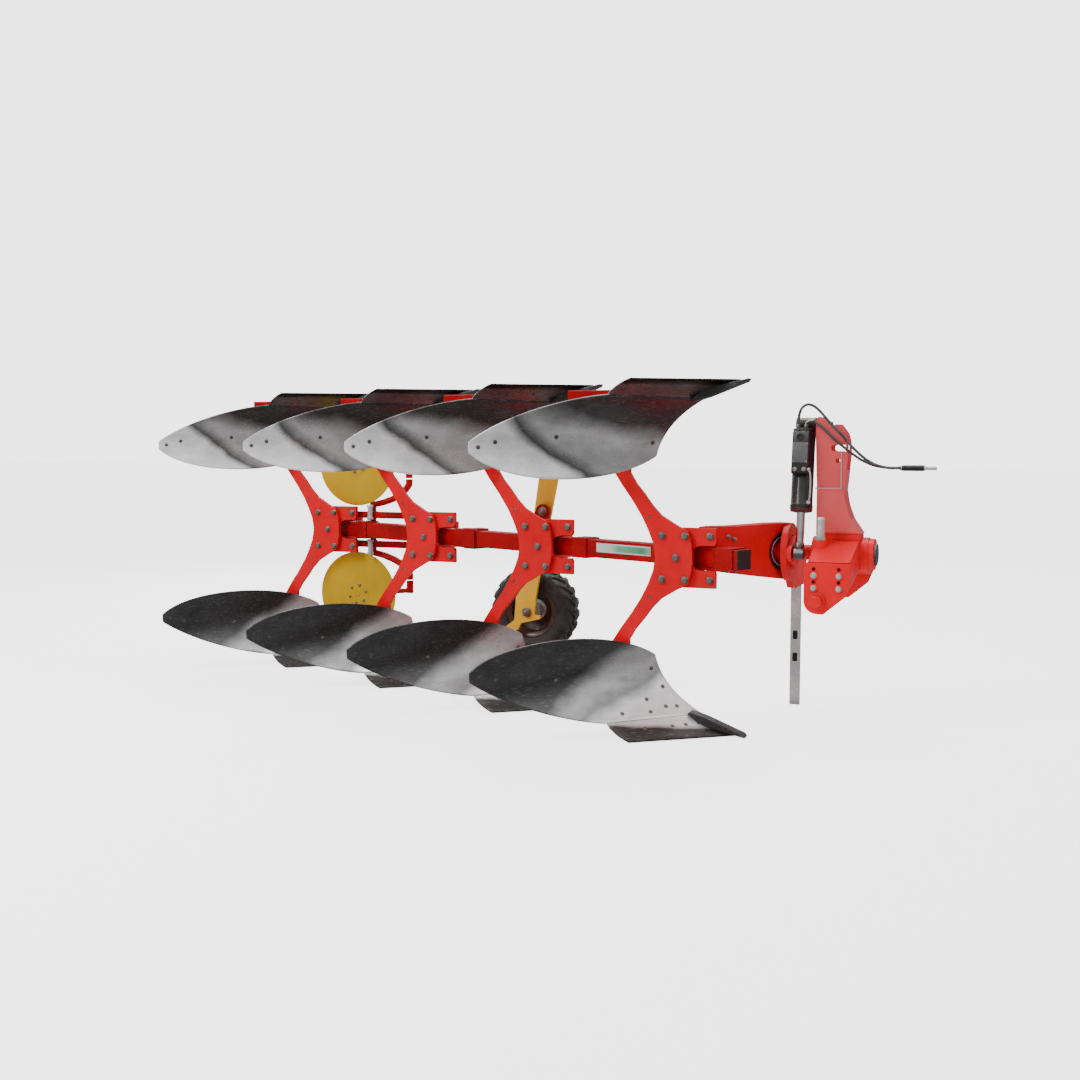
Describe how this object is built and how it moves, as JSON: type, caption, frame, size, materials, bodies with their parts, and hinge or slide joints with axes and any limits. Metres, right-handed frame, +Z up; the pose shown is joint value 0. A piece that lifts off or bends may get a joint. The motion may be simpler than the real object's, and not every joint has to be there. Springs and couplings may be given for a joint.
{
  "type": "mounted reversible moldboard plough",
  "caption": "Mounted reversible moldboard plough: stepped bodies above and below a diagonal beam, turnover headstock, depth wheel, disc coulters and parking stand.",
  "frame": {"origin": "on the ground, under the middle of the machine's bounding box without its hoses", "axes": "+X forward to the tractor, +Y to the left, +Z up"},
  "size_m": [4.9749, 2.2086, 1.862],
  "materials": {
    "red_paint": "gloss",
    "mustard_paint": "satin",
    "yellow_paint": "satin",
    "polished_steel": "polished by soil",
    "share_steel": "worn",
    "zinc_steel": "zinc plated",
    "chrome": "ground chrome",
    "black_paint": "satin",
    "black_plastic": "matt",
    "hose_rubber": "matt",
    "tyre_rubber": "matt",
    "brown_rim": "satin"
  },
  "bodies": {
    "headstock": {"headstock": "red_paint", "tower": "red_paint", "link_plate_right": "red_paint", "link_plate_left": "red_paint", "bearing_cap": "zinc_steel", "tilt_spindle_right": "zinc_steel", "tilt_spindle_left": "zinc_steel", "coupling_front": "zinc_steel", "coupling_rear": "zinc_steel", "hose_front": "hose_rubber", "hose_rear": "hose_rubber"},
    "plough_frame": {"main_beam": "red_paint", "front_arm": "red_paint", "turnover_shaft": "red_paint", "wheel_bracket": "red_paint", "coulter_frame": "red_paint", "coulter_arm_lower": "red_paint", "coulter_arm_upper": "red_paint", "beam_end_cap": "black_plastic", "leg_1": "red_paint", "console_1": "red_paint", "moldboard_lower_1": "polished_steel", "share_lower_1": "share_steel", "landside_lower_1": "red_paint", "moldboard_upper_1": "polished_steel", "share_upper_1": "share_steel", "landside_upper_1": "red_paint", "leg_2": "red_paint", "console_2": "red_paint", "moldboard_lower_2": "polished_steel", "share_lower_2": "share_steel", "landside_lower_2": "red_paint", "moldboard_upper_2": "polished_steel", "share_upper_2": "share_steel", "landside_upper_2": "red_paint", "leg_3": "red_paint", "console_3": "red_paint", "moldboard_lower_3": "polished_steel", "share_lower_3": "share_steel", "landside_lower_3": "red_paint", "moldboard_upper_3": "polished_steel", "share_upper_3": "share_steel", "landside_upper_3": "red_paint", "leg_4": "red_paint", "console_4": "red_paint", "moldboard_lower_4": "polished_steel", "share_lower_4": "share_steel", "landside_lower_4": "red_paint", "moldboard_upper_4": "polished_steel", "share_upper_4": "share_steel", "landside_upper_4": "red_paint"},
    "cylinder_barrel": {"cylinder_barrel": "black_paint"},
    "cylinder_rod": {"cylinder_rod": "chrome"},
    "parking_stand": {"parking_stand": "zinc_steel"},
    "wheel_arm": {"wheel_arm": "yellow_paint"},
    "depth_wheel": {"wheel_rim": "brown_rim", "wheel_tyre": "tyre_rubber"},
    "coulter_disc_lower": {"coulter_disc_lower": "mustard_paint"},
    "coulter_disc_upper": {"coulter_disc_upper": "mustard_paint"}
  },
  "joints": [
    {"name": "turnover", "type": "hinge", "parent": "headstock", "child": "plough_frame", "pos_m": [1.85802, 0.20026, 0.931], "axis": [-1, 0, 0], "range_deg": [0, 180]},
    {"name": "cylinder_swing", "type": "hinge", "parent": "headstock", "child": "cylinder_barrel", "pos_m": [1.93602, 0.20026, 1.631], "axis": [1, 0, 0], "range_deg": [0, 9.73]},
    {"name": "rod_slide", "type": "slide", "parent": "cylinder_barrel", "child": "cylinder_rod", "axis": [0, 0.169, 0.9856], "range_m": [0, 0.13]},
    {"name": "stand_slide", "type": "slide", "parent": "plough_frame", "child": "parking_stand", "axis": [0, 0, 1], "range_m": [0, 0.45]},
    {"name": "depth_wheel_swing", "type": "hinge", "parent": "plough_frame", "child": "wheel_arm", "pos_m": [0.34302, 0.34826, 1.116], "axis": [0, 1, 0], "range_deg": [-12, 12]},
    {"name": "depth_wheel_spin", "type": "hinge", "parent": "wheel_arm", "child": "depth_wheel", "pos_m": [0.22302, 0.47826, 0.493], "axis": [0, 1, 0], "continuous": true},
    {"name": "lower_disc_spin", "type": "hinge", "parent": "plough_frame", "child": "coulter_disc_lower", "pos_m": [-1.29198, 0.89726, 0.475], "axis": [0, 1, 0], "continuous": true},
    {"name": "upper_disc_spin", "type": "hinge", "parent": "plough_frame", "child": "coulter_disc_upper", "pos_m": [-1.29198, 0.89726, 1.387], "axis": [0, 1, 0], "continuous": true}
  ],
  "couplings": [
    {"joint": "cylinder_swing", "follows": "rod_slide", "rad_per_m": 1.306}
  ]
}
